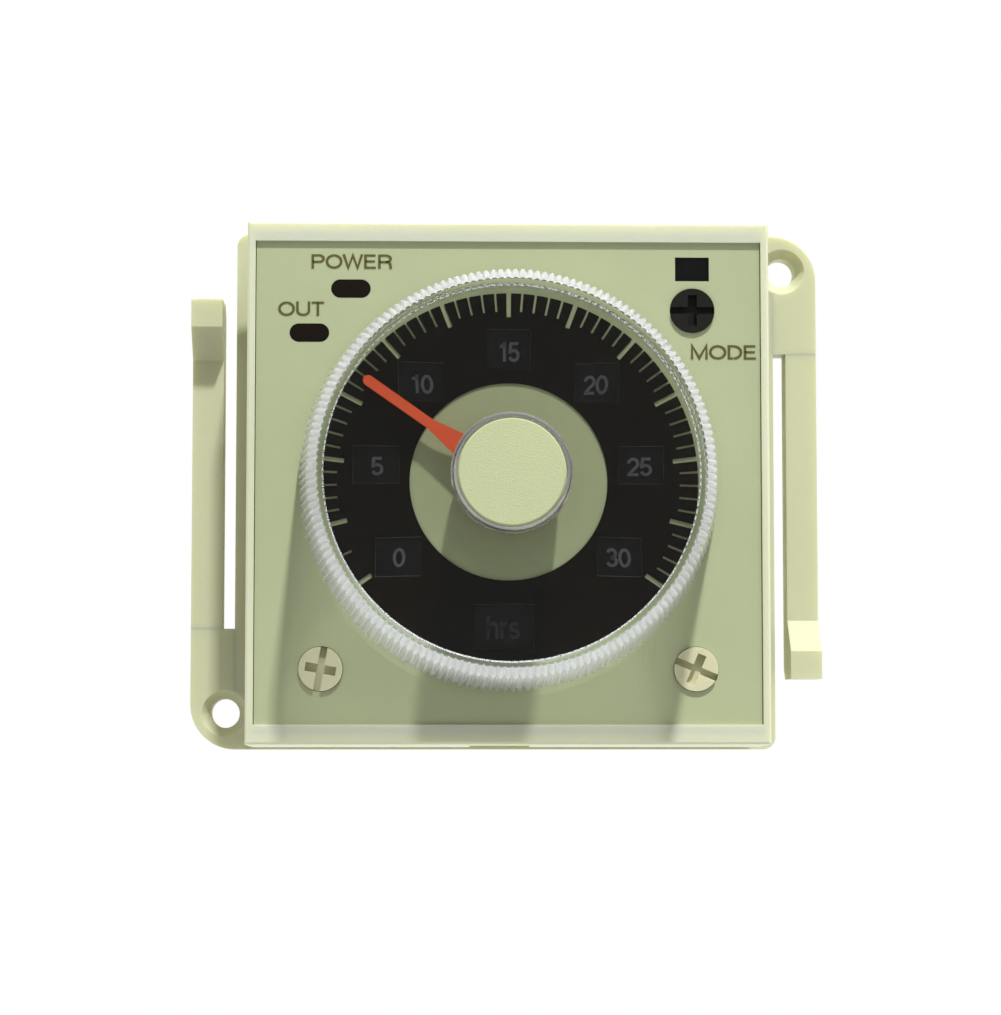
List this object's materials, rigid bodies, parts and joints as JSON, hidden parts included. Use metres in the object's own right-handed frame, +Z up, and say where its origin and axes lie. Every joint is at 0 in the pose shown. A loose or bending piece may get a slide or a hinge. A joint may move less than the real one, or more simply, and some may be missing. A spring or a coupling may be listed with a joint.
{
  "type": "enlarger timer",
  "caption": "Square panel-mounting analogue timer with a clear knurled setting knob over a printed dial, plug-in octal base and slide-on mounting bracket.",
  "frame": {"origin": "on the setting knob's axis, in the plane where the bezel's rear face meets the panel", "axes": "the front faces -Y, +Y runs back through the case to the plug, +X is to the right of a person facing the front, +Z is up"},
  "size_m": [0.0588, 0.097, 0.0486],
  "materials": {
    "bezel_plastic": "semi-gloss moulded ivory",
    "face_print": "satin printed sheet, pale olive",
    "dial_print": "satin black print",
    "disc_plastic": "matt black printed disc",
    "smoked_pane": "smoked clear",
    "lamp_lens": "dark tinted, polished",
    "knob_clear": "clear, polished front and knurled skirt",
    "cap_plastic": "cream with a fine grain",
    "pointer_plastic": "red-orange, semi-gloss",
    "shaft_metal": "turned",
    "contact_metal": "plain",
    "pot_plastic": "moulded",
    "carbon_track": "matt",
    "selector_cream": "moulded",
    "selector_black": "moulded",
    "mode_print": "matt black printed disc",
    "spring_steel": "plain",
    "carrier_plastic": "moulded",
    "black_plastic": "moulded",
    "board_green": "lacquered board",
    "led_red": "clear tinted",
    "relay_clear": "clear",
    "copper_wire": "enamelled wire",
    "soft_iron": "plain",
    "card_plastic": "moulded",
    "tinned_metal": "tinned",
    "resistor_body": "lacquered",
    "capacitor_sleeve": "shrink sleeve",
    "film_red": "dipped",
    "varistor_blue": "dipped",
    "core_steel": "stacked sheets",
    "case_plastic": "moulded light warm grey",
    "base_plastic": "moulded",
    "lead_wire": "sleeved wire",
    "bracket_plastic": "semi-gloss moulded ivory"
  },
  "bodies": {
    "housing": {"front_bezel": "bezel_plastic", "face_plate": "face_print", "scale_print": "dial_print", "number_panes": "smoked_pane", "unit_pane": "smoked_pane", "mode_pane": "smoked_pane", "power_lens": "lamp_lens", "out_lens": "lamp_lens", "pot_body": "pot_plastic", "pot_track": "carbon_track", "disc_clip": "spring_steel", "dial_carrier": "carrier_plastic", "range_switch": "black_plastic", "unit_switch": "black_plastic", "mode_switch": "black_plastic", "front_board": "board_green", "power_led": "led_red", "out_led": "led_red", "link_pins": "contact_metal", "left_board": "board_green", "right_board": "board_green", "relay_base": "black_plastic", "relay_cover": "relay_clear", "relay_coil": "copper_wire", "relay_yoke": "soft_iron", "relay_contacts": "contact_metal", "timing_chip": "black_plastic", "chip_legs": "tinned_metal", "driver_transistor": "black_plastic", "resistors": "resistor_body", "diodes": "black_plastic", "smoothing_capacitor": "capacitor_sleeve", "film_capacitor": "film_red", "varistor": "varistor_blue", "transformer_core": "core_steel", "transformer_coil": "copper_wire", "case_shell": "case_plastic", "rear_base": "base_plastic", "octal_pins": "tinned_metal", "pin_leads": "lead_wire"},
    "setting_knob": {"knob_shell": "knob_clear", "knob_cap": "cap_plastic", "pointer": "pointer_plastic", "setting_shaft": "shaft_metal", "pot_wiper": "contact_metal"},
    "range_selector": {"range_selector": "selector_cream"},
    "number_disc": {"number_disc": "disc_plastic"},
    "unit_selector": {"unit_selector": "selector_cream"},
    "unit_disc": {"unit_disc": "disc_plastic"},
    "mode_selector": {"mode_selector": "selector_black", "mode_disc": "mode_print"},
    "relay_armature": {"relay_armature": "soft_iron", "relay_card": "card_plastic", "relay_blades": "contact_metal"},
    "bracket": {"bracket": "bracket_plastic", "bracket_ears": "bracket_plastic", "bracket_arms": "bracket_plastic"}
  },
  "joints": [
    {"name": "knob_turn", "type": "hinge", "parent": "housing", "child": "setting_knob", "pos_m": [0, 0, 0], "axis": [0, 1, 0], "range_deg": [-69.72, 179.28]},
    {"name": "number_disc_turn", "type": "hinge", "parent": "housing", "child": "number_disc", "pos_m": [0, 0, 0], "axis": [0, 1, 0], "range_deg": [-20.75, 0]},
    {"name": "range_selector_turn", "type": "hinge", "parent": "housing", "child": "range_selector", "pos_m": [-0.01695, 0, -0.01695], "axis": [0, 1, 0], "range_deg": [0, 83]},
    {"name": "unit_disc_turn", "type": "hinge", "parent": "housing", "child": "unit_disc", "pos_m": [0, 0, 0], "axis": [0, 1, 0], "range_deg": [-48, 24]},
    {"name": "unit_selector_turn", "type": "hinge", "parent": "housing", "child": "unit_selector", "pos_m": [0.01695, 0, -0.01695], "axis": [0, 1, 0], "range_deg": [-96, 192]},
    {"name": "mode_selector_turn", "type": "hinge", "parent": "housing", "child": "mode_selector", "pos_m": [0.01675, 0, 0.0157], "axis": [0, 1, 0], "range_deg": [0, 240]},
    {"name": "armature_rock", "type": "hinge", "parent": "housing", "child": "relay_armature", "pos_m": [-0.0052, 0.0504, -0.0086], "axis": [0, 0, 1], "range_deg": [0, 3], "stiffness_Nm_per_rad": 0.002, "springref_deg": -5.73},
    {"name": "bracket_slide", "type": "slide", "parent": "housing", "child": "bracket", "axis": [0, 1, 0], "range_m": [-0.0039, 0.061]}
  ],
  "couplings": [
    {"joint": "range_selector_turn", "follows": "number_disc_turn", "ratio": -4},
    {"joint": "unit_selector_turn", "follows": "unit_disc_turn", "ratio": -4}
  ]
}
